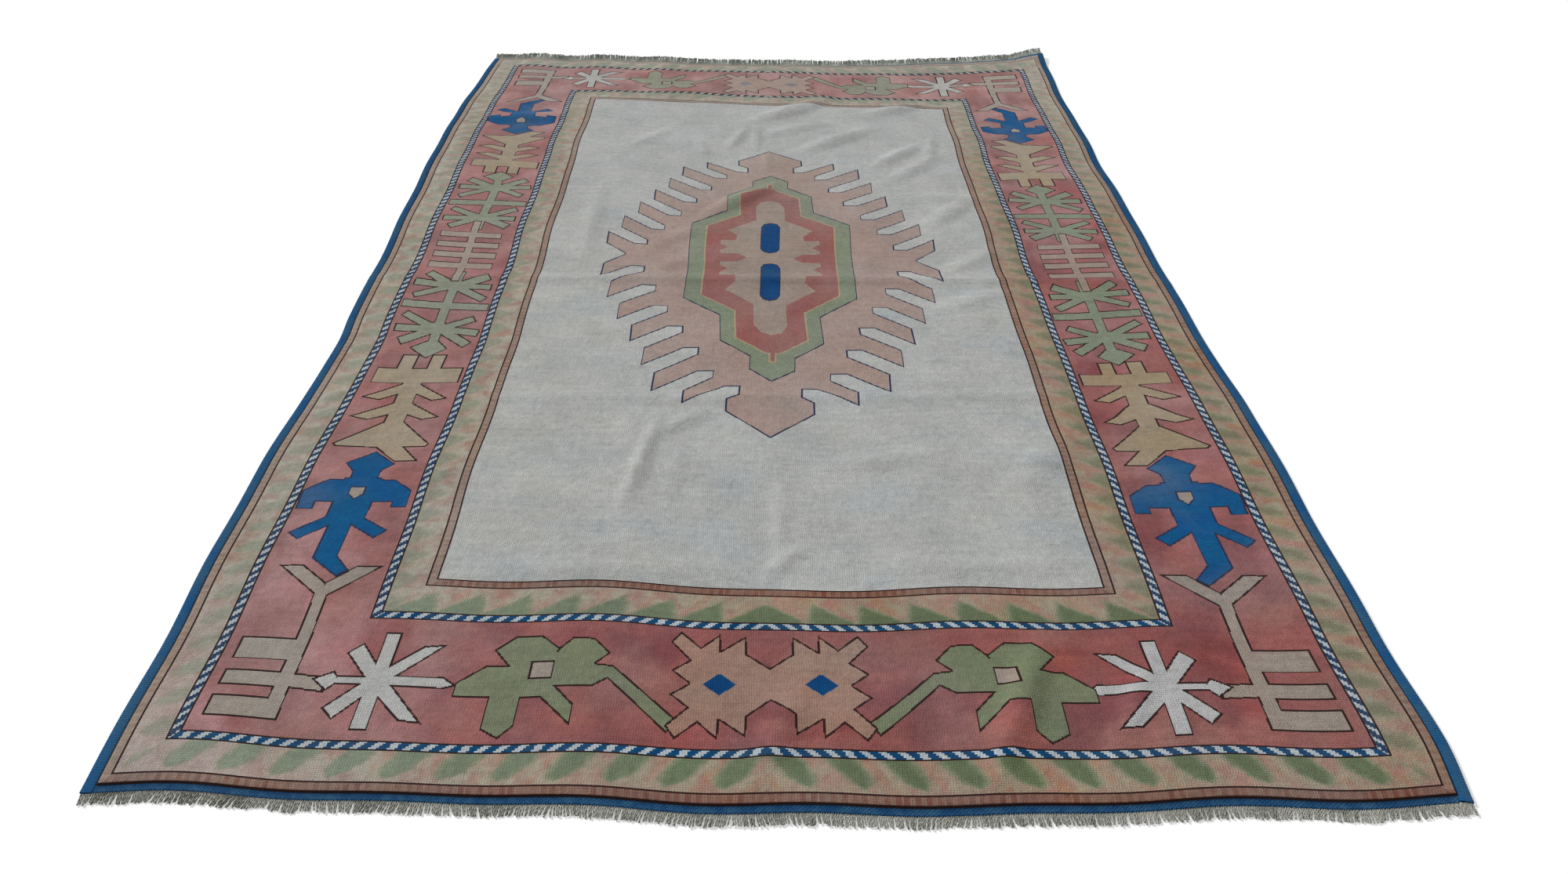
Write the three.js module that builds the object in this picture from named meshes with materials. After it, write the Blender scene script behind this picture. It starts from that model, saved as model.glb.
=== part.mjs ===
// A hand-knotted wool village rug lying on the floor: the knotted body with its woven end bands,
// a selvedge down each long side and a warp fringe at each end.
// Millimetres. +X across the weave, +Y along the warps, +Z up. The near end is at -Y.
import * as THREE from "three";

// Driving dimensions
const rugWidth = 2000;
const rugLength = 3020;         // from end band to end band, without the fringe
const pileThickness = 8;        // foundation and cut pile
const endBandWidth = 11;        // flat-woven band beyond the last row of knots
const endBandThickness = 4;
const pileShoulder = 5;         // how far the pile's edge slopes down to the end band
const selvedgeWidth = 20;
const selvedgeThickness = 5;
const selvedgeGap = 0.35;       // clearance between the body and each selvedge
const fringeGap = 0.8;          // clearance between the end bands and the fringes
const fringeInset = 8;          // bare stretch of the end at each corner
const fringeThickness = 3;
const fringeHeading = 4;        // unbroken strip from which the strands hang
const strandGroups = 48;        // groups of strands in each fringe
const groupGap = 3.5;           // space between two groups
const nearFringe = { length: 20, ragged: 4, tipLift: 0 };
const farFringe = { length: 30, ragged: 5, tipLift: 8 };

// How the body is divided for its mesh
const columnCount = 28;
const rowCount = 44;
const foldBand = { start: -190, end: -20, rows: 8 };

const halfWidth = rugWidth / 2;
const halfLength = rugLength / 2;

// How far each long side stands out past the half width, at distances along the rug
const leftSide = [
  { y: -1510, out: -4 },
  { y: -1250, out: 0 },
  { y: -1000, out: 8 },
  { y: -780, out: 11 },
  { y: -690, out: 8 },
  { y: -590, out: 1 },
  { y: -490, out: -6 },
  { y: -390, out: -6 },
  { y: -300, out: 7 },
  { y: -200, out: 11 },
  { y: -60, out: 9 },
  { y: 150, out: 22 },
  { y: 400, out: 36 },
  { y: 800, out: 41 },
  { y: 1200, out: 34 },
  { y: 1510, out: 15 },
];
const rightSide = [
  { y: -1510, out: -6 },
  { y: -1400, out: 4 },
  { y: -1200, out: -7 },
  { y: -950, out: 0 },
  { y: -600, out: -1 },
  { y: -450, out: -10 },
  { y: 0, out: -13 },
  { y: 1200, out: -15 },
  { y: 1510, out: -5 },
];

const sideGrip = 5;             // the middle of the rug hardly follows its sides

// How far each weft line is drawn along the rug, at five places across it
const weftPlaces = [-1000, -500, 0, 500, 1000];
const weftLines = [
  { y: -1510, edgeLeft: 15, left: 8, middle: -6, right: 3, edgeRight: 25 },
  { y: -1417, edgeLeft: 19, left: 7, middle: 0, right: 5, edgeRight: 22 },
  { y: -1090, edgeLeft: 17, left: 17, middle: -4, right: 3, edgeRight: 13 },
  { y: -700, edgeLeft: 18, left: 11, middle: -5, right: 4, edgeRight: 12 },
  { y: -350, edgeLeft: 58, left: 33, middle: 16, right: 8, edgeRight: 10 },
  { y: 0, edgeLeft: 115, left: 64, middle: 35, right: 19, edgeRight: 26 },
  { y: 350, edgeLeft: 150, left: 84, middle: 22, right: 11, edgeRight: 20 },
  { y: 700, edgeLeft: 125, left: 54, middle: 4, right: -6, edgeRight: -10 },
  { y: 1090, edgeLeft: 40, left: 20, middle: -36, right: -74, edgeRight: -74 },
  { y: 1423, edgeLeft: 34, left: -18, middle: -60, right: -96, edgeRight: -52 },
  { y: 1510, edgeLeft: 30, left: -20, middle: -66, right: -78, edgeRight: -12 },
];

// Creases and ripples, each a long low mound: its middle, its direction in degrees from +X,
// its full length and width, and its height
const folds = [
  { name: "middle fold", x: 0, y: -68, turn: -1, length: 2600, width: 80, height: 7 },
  { name: "near fold", x: 0, y: -552, turn: 0, length: 2000, width: 80, height: 3.5 },
  { name: "near left crease", x: -250, y: -750, turn: 78, length: 330, width: 80, height: 8 },
  { name: "near right swell", x: 540, y: -760, turn: 50, length: 300, width: 110, height: 5 },
  { name: "near middle crease", x: 15, y: -1390, turn: 65, length: 240, width: 90, height: 7.5 },
  { name: "near border crease", x: 390, y: -1330, turn: 66, length: 380, width: 90, height: 12 },
  { name: "left ripple", x: -480, y: 250, turn: 90, length: 640, width: 90, height: 4.5 },
  { name: "lobe ripple", x: -75, y: 370, turn: 43, length: 350, width: 92, height: 13 },
  { name: "right crease", x: 485, y: 373, turn: -3, length: 240, width: 80, height: 4.5 },
  { name: "slanted ripple", x: 500, y: 290, turn: 50, length: 300, width: 90, height: 7 },
  { name: "side ripple", x: 520, y: 20, turn: 35, length: 240, width: 80, height: 7 },
  { name: "lower right ripple", x: 480, y: -175, turn: 25, length: 300, width: 90, height: 6 },
  { name: "left ridge", x: -790, y: 970, turn: 0, length: 360, width: 110, height: 10 },
  { name: "steep ripple", x: -95, y: 790, turn: 71, length: 230, width: 80, height: 7 },
  { name: "far ripple", x: 65, y: 1000, turn: 33, length: 360, width: 120, height: 14 },
  { name: "long ripple", x: 210, y: 770, turn: 36, length: 400, width: 104, height: 10 },
  { name: "short ripple", x: 390, y: 655, turn: 45, length: 280, width: 84, height: 9 },
  { name: "last ripple", x: 400, y: 1000, turn: 25, length: 320, width: 96, height: 9 },
  { name: "far left swell", x: -300, y: 1185, turn: 20, length: 420, width: 220, height: 6 },
  { name: "far middle swell", x: 175, y: 1120, turn: 62, length: 260, width: 130, height: 7 },
  { name: "first end wave", x: -850, y: 1490, turn: 90, length: 560, width: 220, height: 5 },
  { name: "second end wave", x: -610, y: 1480, turn: 90, length: 440, width: 190, height: 4 },
  { name: "third end wave", x: -375, y: 1470, turn: 90, length: 560, width: 210, height: 6 },
  { name: "fourth end wave", x: 560, y: 1450, turn: 90, length: 420, width: 260, height: 4 },
  { name: "lifted corner", x: 1010, y: 1545, turn: 45, length: 330, width: 300, height: 18 },
];

// A smooth curve through the rows of a table, read at one distance
function readTable(rows, column, at) {
  const last = rows.length - 1;
  const distance = Math.min(Math.max(at, rows[0].y), rows[last].y);
  let i = 0;
  while (i < last - 1 && distance > rows[i + 1].y) i += 1;
  const slope = (j) => {
    const before = rows[Math.max(j - 1, 0)];
    const after = rows[Math.min(j + 1, last)];
    return (after[column] - before[column]) / (after.y - before.y);
  };
  const span = rows[i + 1].y - rows[i].y;
  const t = (distance - rows[i].y) / span;
  const rise = rows[i + 1][column] - rows[i][column];
  const leave = slope(i) * span;
  const arrive = slope(i + 1) * span;
  return rows[i][column] + t * (leave + t * (3 * rise - 2 * leave - arrive + t * (leave + arrive - 2 * rise)));
}

// The drawn-out weft line through a place in the weave
function weftShift(across, along) {
  const columns = ["edgeLeft", "left", "middle", "right", "edgeRight"];
  const line = columns.map((column, i) => ({ y: weftPlaces[i], shift: readTable(weftLines, column, along) }));
  return readTable(line, "shift", across);
}

// Where a place in the weave lies on the floor; both run from the rug's middle
function plan(across, along) {
  const toRight = ((1 + across / halfWidth) / 2) ** sideGrip;
  const toLeft = ((1 - across / halfWidth) / 2) ** sideGrip;
  const out = readTable(rightSide, "out", along) * toRight - readTable(leftSide, "out", along) * toLeft;
  return { x: across + out, y: along + weftShift(across, along) };
}

// Height of the cloth's underside over the floor
function relief(x, y) {
  let height = 0;
  for (const fold of folds) {
    const turn = THREE.MathUtils.degToRad(fold.turn);
    const along = (x - fold.x) * Math.cos(turn) + (y - fold.y) * Math.sin(turn);
    const across = (y - fold.y) * Math.cos(turn) - (x - fold.x) * Math.sin(turn);
    const reach = (2 * along / fold.length) ** 2 + (2 * across / fold.width) ** 2;
    if (reach < 1) height += fold.height * (1 - reach) ** 2;
  }
  return height;
}

// A closed solid over a grid of weave places, with columns at the distances in acrosses. alongAt
// gives each corner's distance along the rug, thickness is measured up from the underside, hasCell
// says which cells hold cloth, and lift raises a row's underside over the relief.
function clothSolid({ acrosses, rows, alongAt, thickness, hasCell = () => true, lift = () => 0 }) {
  const columns = acrosses.length;
  const cell = (i, j) => i >= 0 && j >= 0 && i < columns - 1 && j < rows - 1 && hasCell(i, j);
  const corners = new Map();
  const positions = [];
  const indices = [];
  const corner = (i, j, top) => {
    const key = (j * columns + i) * 2 + top;
    if (!corners.has(key)) {
      const place = plan(acrosses[i], alongAt(i, j));
      const under = relief(place.x, place.y) + lift(j);
      corners.set(key, positions.length / 3);
      positions.push(place.x, place.y, under + top * thickness(alongAt(i, j)));
    }
    return corners.get(key);
  };
  const wall = (i0, j0, i1, j1) => {
    const [a, b, c, d] = [corner(i0, j0, 0), corner(i1, j1, 0), corner(i1, j1, 1), corner(i0, j0, 1)];
    indices.push(a, b, c, a, c, d);
  };
  for (let j = 0; j < rows - 1; j += 1) {
    for (let i = 0; i < columns - 1; i += 1) {
      if (!cell(i, j)) continue;
      for (const top of [0, 1]) {
        const [a, b] = [corner(i, j, top), corner(i + 1, j, top)];
        const [c, d] = [corner(i + 1, j + 1, top), corner(i, j + 1, top)];
        indices.push(...(top ? [a, b, c, a, c, d] : [a, c, b, a, d, c]));
      }
      if (!cell(i, j - 1)) wall(i, j, i + 1, j);
      if (!cell(i + 1, j)) wall(i + 1, j, i + 1, j + 1);
      if (!cell(i, j + 1)) wall(i + 1, j + 1, i, j + 1);
      if (!cell(i - 1, j)) wall(i, j + 1, i, j);
    }
  }
  const geometry = new THREE.BufferGeometry();
  geometry.setAttribute("position", new THREE.Float32BufferAttribute(positions, 3));
  geometry.setIndex(indices);
  geometry.computeVertexNormals();
  return geometry;
}

// Evenly spaced numbers from start to end, both included
function steps(start, end, count) {
  return Array.from({ length: count + 1 }, (_, i) => start + ((end - start) * i) / count);
}

// Row places: even steps, with closer rows where the middle fold crosses the weave and at the
// shoulders of the pile
function rowPlaces() {
  const rows = steps(-halfLength, halfLength, rowCount).filter((y) => y < foldBand.start || y > foldBand.end);
  rows.push(...steps(foldBand.start, foldBand.end, foldBand.rows));
  for (const end of [-1, 1]) {
    rows.push(end * (halfLength - endBandWidth), end * (halfLength - endBandWidth - pileShoulder));
  }
  return rows.sort((first, second) => first - second);
}

function bodyThickness(along) {
  const fromEnd = halfLength - Math.abs(along);
  const share = THREE.MathUtils.clamp((fromEnd - endBandWidth) / pileShoulder, 0, 1);
  return THREE.MathUtils.lerp(endBandThickness, pileThickness, share);
}

function bodySolid() {
  const edge = halfWidth - selvedgeWidth - selvedgeGap;
  const places = rowPlaces();
  return clothSolid({
    acrosses: steps(-edge, edge, columnCount),
    rows: places.length,
    alongAt: (i, j) => places[j],
    thickness: bodyThickness,
  });
}

function selvedgeSolid(side) {
  const edges = [side * halfWidth, side * (halfWidth - selvedgeWidth)];
  const places = rowPlaces();
  return clothSolid({
    acrosses: edges.sort((first, second) => first - second),
    rows: places.length,
    alongAt: (i, j) => places[j],
    thickness: () => selvedgeThickness,
  });
}

// A comb of strand groups, end -1 at the near end and 1 at the far end. Every other column of
// cells is a gap, which keeps only its heading, and the groups' tips are ragged.
function fringeSolid(end, fringe) {
  const edge = halfWidth - fringeInset;
  const pitch = (2 * edge + groupGap) / strandGroups;
  const starts = Array.from({ length: strandGroups }, (_, group) => -edge + group * pitch);
  const reaches = [fringeGap, fringeHeading, fringe.length];
  const fromBody = (j) => (end < 0 ? reaches.length - 1 - j : j);
  const raggedness = (i) => fringe.ragged * Math.sin(Math.floor(i / 2) * 2.4);
  return clothSolid({
    acrosses: starts.flatMap((start) => [start, start + pitch - groupGap]),
    rows: reaches.length,
    alongAt: (i, j) => {
      const atTip = fromBody(j) === 2;
      return end * (halfLength + reaches[fromBody(j)] + (atTip ? raggedness(i) : 0));
    },
    thickness: () => fringeThickness,
    hasCell: (i, j) => i % 2 === 0 || fromBody(j + (end < 0 ? 1 : 0)) === 0,
    lift: (j) => (fromBody(j) === 2 ? fringe.tipLift : 0),
  });
}

function wool(color) {
  return new THREE.MeshStandardMaterial({ color, roughness: 0.95, metalness: 0 });
}

const knottedWool = wool(0xa8756c);
const blueWool = wool(0x0d4f8b);
const warpWool = wool(0xa3a293);

const rug = new THREE.Group();

function addPiece(name, geometry, material) {
  const mesh = new THREE.Mesh(geometry, material);
  mesh.name = name;
  rug.add(mesh);
}

addPiece("rug_body", bodySolid(), knottedWool);
addPiece("selvedge_left", selvedgeSolid(-1), blueWool);
addPiece("selvedge_right", selvedgeSolid(1), blueWool);
addPiece("fringe_near", fringeSolid(-1, nearFringe), warpWool);
addPiece("fringe_far", fringeSolid(1, farFringe), warpWool);

// The origin is under the middle of the rug's box, on the floor
const box = new THREE.Box3().setFromObject(rug);
const middle = box.getCenter(new THREE.Vector3());
rug.position.set(-middle.x, -middle.y, -box.min.z);

export default rug;
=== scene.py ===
import math

import bpy
from mathutils import Euler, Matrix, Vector


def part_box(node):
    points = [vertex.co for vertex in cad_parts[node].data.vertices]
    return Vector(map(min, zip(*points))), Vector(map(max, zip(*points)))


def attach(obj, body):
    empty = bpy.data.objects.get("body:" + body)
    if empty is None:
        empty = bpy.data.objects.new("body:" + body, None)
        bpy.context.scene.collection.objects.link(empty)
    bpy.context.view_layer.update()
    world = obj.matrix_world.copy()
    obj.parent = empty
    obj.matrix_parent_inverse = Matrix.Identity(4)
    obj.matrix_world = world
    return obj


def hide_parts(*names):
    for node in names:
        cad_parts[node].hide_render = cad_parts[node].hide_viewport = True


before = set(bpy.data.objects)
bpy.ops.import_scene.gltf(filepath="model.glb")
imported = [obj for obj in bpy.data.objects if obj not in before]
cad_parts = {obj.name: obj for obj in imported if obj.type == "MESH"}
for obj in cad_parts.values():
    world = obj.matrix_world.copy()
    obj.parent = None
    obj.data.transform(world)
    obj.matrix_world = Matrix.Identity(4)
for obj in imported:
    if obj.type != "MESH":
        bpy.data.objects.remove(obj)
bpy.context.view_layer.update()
print("frame loaded")

rug = {
    "width": 2000,
    "length": 3020,
    "knot": (4, 3.5),            # size of one knot, across and along
    "pileThickness": 8,
    "pileShoulder": 5,           # how far in from the end band the pile reaches its full height
    "sideShoulder": 6,
    "endBandWidth": 11,
    "endBandThickness": 4,
    "endBandShoulder": 2.5,
    "selvedgeWidth": 20,
    "selvedgeThickness": 5,
    "selvedgeGap": 0.35,
    "meshPitch": 12,
    "lineWander": (1.4, 2.4),    # how far woven lines stray from straight, across and along
    "sideHold": 5,               # the higher, the closer to a side its unevenness stays
    "unevenness": 0.35,          # of the cloth between its folds
    "outline": (-1.8, 1.6),      # how far the dark line round a shape reaches in and out
}
halfWidth = rug["width"] / 2
halfLength = rug["length"] / 2

# How far each long side stands out past the half width, at distances from the rug's middle
leftSide = [
    (-1510, -4), (-1250, 0), (-1000, 8), (-780, 11), (-690, 8), (-590, 1), (-490, -6),
    (-390, -6), (-300, 7), (-200, 11), (-60, 9), (150, 22), (400, 36), (800, 41), (1200, 34),
    (1510, 15),
]
rightSide = [
    (-1510, -6), (-1400, 4), (-1200, -7), (-950, 0), (-600, -1), (-450, -10), (0, -13),
    (1200, -15), (1510, -5),
]

# How far each weft line is drawn along the rug, at five places across it
weftPlaces = (-1000, -500, 0, 500, 1000)
weftLines = [
    (-1510, (15, 8, -6, 3, 25)),
    (-1417, (19, 7, 0, 5, 22)),
    (-1090, (17, 17, -4, 3, 13)),
    (-700, (18, 11, -5, 4, 12)),
    (-350, (58, 33, 16, 8, 10)),
    (0, (115, 64, 35, 19, 26)),
    (350, (150, 84, 22, 11, 20)),
    (700, (125, 54, 4, -6, -10)),
    (1090, (40, 20, -36, -74, -74)),
    (1423, (34, -18, -60, -96, -52)),
    (1510, (30, -20, -66, -78, -12)),
]

# Creases and ripples, each a long low mound: x and y of its middle, its direction in degrees
# from +X, its full length and width, and its height
folds = [
    (0, -68, -1, 2600, 66, 7),            # where the rug was folded, in half and in quarters
    (0, -552, 0, 2000, 60, 4.5),
    (-250, -755, 80, 380, 44, 9),         # near part of the field
    (-180, -640, 37, 170, 50, 6),
    (-180, -790, 85, 260, 46, 3),
    (230, -755, 13, 340, 74, 5),
    (-60, -812, 1, 330, 36, 2.5),
    (25, -930, 88, 320, 44, 4),
    (34, -1030, 46, 150, 46, 6),
    (-320, -1052, 0, 640, 66, 4.5),
    (350, -1040, 0, 600, 70, 4.5),
    (540, -760, 50, 300, 110, 5),
    (15, -1390, 65, 240, 90, 7.5),        # near border
    (390, -1330, 66, 380, 80, 12),
    (560, -1330, 60, 260, 60, 6),
    (-480, 250, 90, 640, 76, 5),          # middle of the field
    (-75, 370, 43, 350, 92, 13.5),
    (-250, 150, 41, 220, 80, 4.5),
    (-245, 10, 40, 180, 70, 4.5),
    (485, 373, -3, 240, 70, 4.5),
    (500, 290, 50, 300, 90, 7),
    (520, 20, 35, 240, 80, 7.5),
    (480, -175, 25, 300, 90, 6),
    (-790, 970, 0, 360, 110, 10),         # far part of the field
    (-95, 790, 71, 230, 52, 7.5),
    (-38, 795, 90, 240, 46, 6),
    (65, 1000, 33, 360, 120, 14),
    (210, 770, 36, 400, 104, 10),
    (80, 855, 25, 280, 90, 7),
    (390, 655, 45, 280, 74, 9),
    (430, 560, 47, 290, 84, 9),
    (492, 700, 80, 230, 52, 6),
    (-200, 710, 101, 230, 34, 4),
    (-6, 610, 90, 210, 34, 4),
    (400, 1000, 25, 320, 96, 9),
    (-370, 800, 50, 320, 64, 4),
    (-300, 1185, 20, 420, 220, 6),
    (175, 1120, 62, 260, 130, 7),
    (-850, 1490, 90, 560, 220, 5),        # waves of the far end and its lifted corner
    (-610, 1480, 90, 440, 190, 4),
    (-375, 1470, 90, 560, 210, 6),
    (560, 1450, 90, 420, 260, 4),
    (1010, 1545, 45, 330, 300, 18),
]


def readCurve(rows, at):
    # a smooth curve through (place, value) rows, level beyond both ends
    last = len(rows) - 1
    at = min(max(at, rows[0][0]), rows[last][0])
    i = 0
    while i < last - 1 and at > rows[i + 1][0]:
        i += 1

    def slope(j):
        before, after = rows[max(j - 1, 0)], rows[min(j + 1, last)]
        return (after[1] - before[1]) / (after[0] - before[0])

    span = rows[i + 1][0] - rows[i][0]
    t = (at - rows[i][0]) / span
    rise = rows[i + 1][1] - rows[i][1]
    leave, arrive = slope(i) * span, slope(i + 1) * span
    return rows[i][1] + t * (leave + t * (3 * rise - 2 * leave - arrive + t * (leave + arrive - 2 * rise)))


wanderWaves = ((49, 0.4, 1), (81, -0.3, -1.7), (110, 3, 0.6))    # each one's length, start and lean


def wander(spot, line):
    # slow waves in a woven line, in step with those of its neighbours
    drift = line / 500 + 3
    return sum(math.sin(spot / length + start + lean * drift) for length, start, lean in wanderWaves)


def weftRow(along):
    # what the places of one row share: how its line is drawn along and its sides stand out
    y = along - halfLength
    drawn = [(place, readCurve([(row, shifts[i]) for row, shifts in weftLines], y))
             for i, place in enumerate(weftPlaces)]
    return {"y": y, "drawn": drawn, "left": readCurve(leftSide, y), "right": readCurve(rightSide, y)}


def layOut(row, across):
    # where a place in the weave lies on the floor
    x = across - halfWidth
    toRight = (across / rug["width"]) ** rug["sideHold"]
    toLeft = (1 - across / rug["width"]) ** rug["sideHold"]
    side, end = rug["lineWander"]
    return (
        x + row["right"] * toRight - row["left"] * toLeft + side * wander(row["y"], x),
        row["y"] + readCurve(row["drawn"], x) + end * wander(x, row["y"]),
    )


def floorHeight(x, y):
    # height of the cloth's underside, from its folds and a slight unevenness
    height = rug["unevenness"] * (2 + math.sin(x / 87 + y / 140) + math.sin(y / 63 - x / 190))
    for foldX, foldY, turn, length, width, top in folds:
        turn = math.radians(turn)
        along = (x - foldX) * math.cos(turn) + (y - foldY) * math.sin(turn)
        across = (y - foldY) * math.cos(turn) - (x - foldX) * math.sin(turn)
        reach = (2 * along / length) ** 2 + (2 * across / width) ** 2
        if reach < 1:
            height += top * (1 - reach) ** 2
    return height


def even(end, step=10):
    # places from -end to end
    return range(-int(end), int(end) + 1, step)


# The frame has its origin under the middle of the whole box, so the cloth is moved to match
nearRow = weftRow(0)
leftReach = min(-halfWidth - readCurve(leftSide, y) for y in even(halfLength))
nearReach = min(readCurve(nearRow["drawn"], x) - halfLength for x in even(halfWidth - rug["selvedgeWidth"]))
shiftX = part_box("selvedge_left")[0].x * 1000 - leftReach
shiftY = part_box("rug_body")[0].y * 1000 - nearReach
print("shift", round(shiftX, 1), round(shiftY, 1))


def place(row, across, rise=0):
    x, y = layOut(row, across)
    return Vector(((x + shiftX) / 1000, (y + shiftY) / 1000, (floorHeight(x, y) + rise) / 1000))


class Value:
    # a number or vector worked out by a node, so that formulas can be written plainly
    def __init__(self, tree, socket):
        self.tree = tree
        self.socket = socket

    def __add__(self, other):
        return self.tree.math("ADD", self, other)

    def __sub__(self, other):
        return self.tree.math("SUBTRACT", self, other)

    def __rsub__(self, other):
        return self.tree.math("SUBTRACT", other, self)

    def __mul__(self, other):
        return self.tree.math("MULTIPLY", self, other)

    def __truediv__(self, other):
        return self.tree.math("DIVIDE", self, other)

    def __mod__(self, other):
        return self.tree.math("FLOORED_MODULO", self, other)

    def __lt__(self, other):
        return self.tree.math("LESS_THAN", self, other)

    def __gt__(self, other):
        return self.tree.math("GREATER_THAN", self, other)

    def __abs__(self):
        return self.tree.math("ABSOLUTE", self)

    def floor(self):
        return self.tree.math("FLOOR", self)

    def sine(self):
        return self.tree.math("SINE", self)

    __radd__ = __add__
    __rmul__ = __mul__


def lowest(first, second):
    return first.tree.math("MINIMUM", first, second)


def highest(first, second):
    return first.tree.math("MAXIMUM", first, second)


class Workings:
    # the nodes of one material or geometry tree
    def __init__(self, tree):
        self.tree = tree
        tree.nodes.clear()

    def node(self, kind, inputs=(), **settings):
        made = self.tree.nodes.new(kind)
        for name, value in settings.items():
            setattr(made, name, value)
        for key, value in inputs.items() if isinstance(inputs, dict) else enumerate(inputs):
            self.feed(made.inputs[key], value)
        return made

    def feed(self, socket, value):
        if isinstance(value, Value):
            self.tree.links.new(value.socket, socket)
        elif isinstance(value, bpy.types.NodeSocket):
            self.tree.links.new(value, socket)
        elif value is not None:
            socket.default_value = value

    def out(self, kind, output, inputs=(), **settings):
        return Value(self, self.node(kind, inputs, **settings).outputs[output])

    def math(self, operation, *values):
        return self.out("ShaderNodeMath", 0, values, operation=operation)

    def vector(self, x=0, y=0, z=0):
        return self.out("ShaderNodeCombineXYZ", 0, (x, y, z))

    def ramp(self, value, start, end, low=0.0, high=1.0):
        # runs smoothly from low to high as value goes from start to end
        return self.out("ShaderNodeMapRange", 0, (value, start, end, low, high),
                        interpolation_type="SMOOTHSTEP")

    def noise(self, vector, scale, detail=2.0, rough=0.5):
        return self.out("ShaderNodeTexNoise", 0, {
            "Vector": vector, "Scale": scale, "Detail": detail, "Roughness": rough})

    def parts(self, vector):
        # the x, y and z of a vector
        split = self.node("ShaderNodeSeparateXYZ", [vector])
        return [Value(self, socket) for socket in split.outputs]


def dye(red, green, blue):
    # a colour in the usual 0 to 255 steps, as the linear one that a shader takes
    def linear(part):
        part /= 255
        return part / 12.92 if part <= 0.04045 else ((part + 0.055) / 1.055) ** 2.4

    return (linear(red), linear(green), linear(blue), 1)


def newMaterial(name):
    material = bpy.data.materials.new(name)
    material.use_nodes = True
    return material


def addObject(name, data):
    made = bpy.data.objects.new(name, data)
    bpy.context.scene.collection.objects.link(made)
    return made


wools = {
    "rose": dye(141, 90, 88),
    "roseDeep": dye(125, 76, 77),
    "roseWarm": dye(151, 97, 92),
    # painted sheen and fading of the rose
    "roseFadeAndSheen": dye(180, 136, 138),
    "red": dye(144, 98, 94),
    "field": dye(175, 176, 173),
    "fieldCool": dye(165, 170, 173),
    "fieldFarLight": dye(176, 183, 190),
    "ivory": dye(174, 175, 174),
    "beige": dye(147, 136, 127),
    "tan": dye(151, 136, 126),
    "ochre": dye(154, 138, 114),
    "peach": dye(152, 123, 110),
    "medallion": dye(160, 141, 133),
    "green": dye(126, 134, 115),
    "greenDeep": dye(114, 121, 97),
    "leaf": dye(98, 109, 82),
    "leafPale": dye(124, 131, 106),
    "leafCool": dye(121, 134, 115),
    "pink": dye(153, 122, 112),
    "mauve": dye(170, 150, 146),
    "peachWarm": dye(162, 120, 100),
    "cream": dye(154, 142, 122),
    "creamCool": dye(166, 162, 149),
    "straw": dye(162, 146, 116),
    "guard": dye(144, 122, 108),
    "guardRose": dye(116, 76, 66),
    "blue": dye(12, 64, 108),
    "blueBright": dye(20, 82, 130),
    "blueDeep": dye(2, 64, 114),
    # painted sheen: a paler blue laid in random patches on the selvedges and the end band
    "blueSheen": dye(44, 90, 124),
    "eyeFar": dye(88, 86, 110),
    "poleBlue": dye(20, 68, 106),
    "poleNavy": dye(36, 62, 92),
    "poleFar": dye(44, 44, 52),
    "pale": dye(172, 180, 186),
    "dark": dye(44, 27, 25),
    "navy": dye(40, 48, 76),
    # painted sheen and fading: the pale, dusty colour the pile turns toward on the left and at the far end
    "dustAndSheen": dye(172, 168, 158),
    "fringeGrey": dye(158, 158, 149),
    "fringeShade": dye(124, 125, 115),
    "fringeFar": dye(172, 177, 166),
    "fringeMoss": dye(132, 139, 129),
}
pile = {
    "noises": {                  # scale, detail and roughness of each
        "patches": (0.008, 3, 0.5),
        "swells": (0.009, 2, 0.5),
        "lumps": (0.028, 2, 0.5),
        "tufts": (0.07, 3, 0.7),
        "fibre": (0.55, 3, 0.6),
    },
    # how much each mark shades a knot, and how much it raises the pile; the domes' share is painted shade,
    # darker in the hollows between knots
    "shades": {
        "chance": 0.15, "domes": 0.07, "fibre": 0.17, "patches": 0.4, "tufts": 0.5, "rows": 0.24,
        "lumps": 0.22,
    },
    "relief": {"fibre": 1.5, "tufts": 2, "lumps": 1.6, "swells": 3},
    "dullest": 0.125,            # brightness that every knot has
    "loose": 1.3,                # how far knots stray from a true grid
    # painted sheen and fading of the pile, on the left and toward the far end
    "leftSheenAndWear": 0.22,
    "farSheenAndWear": 0.4,
    "edgeWear": 0.4,             # of the outer stripes at the far end
    "edgeWearFrom": (2935, 2948),
}


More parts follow.
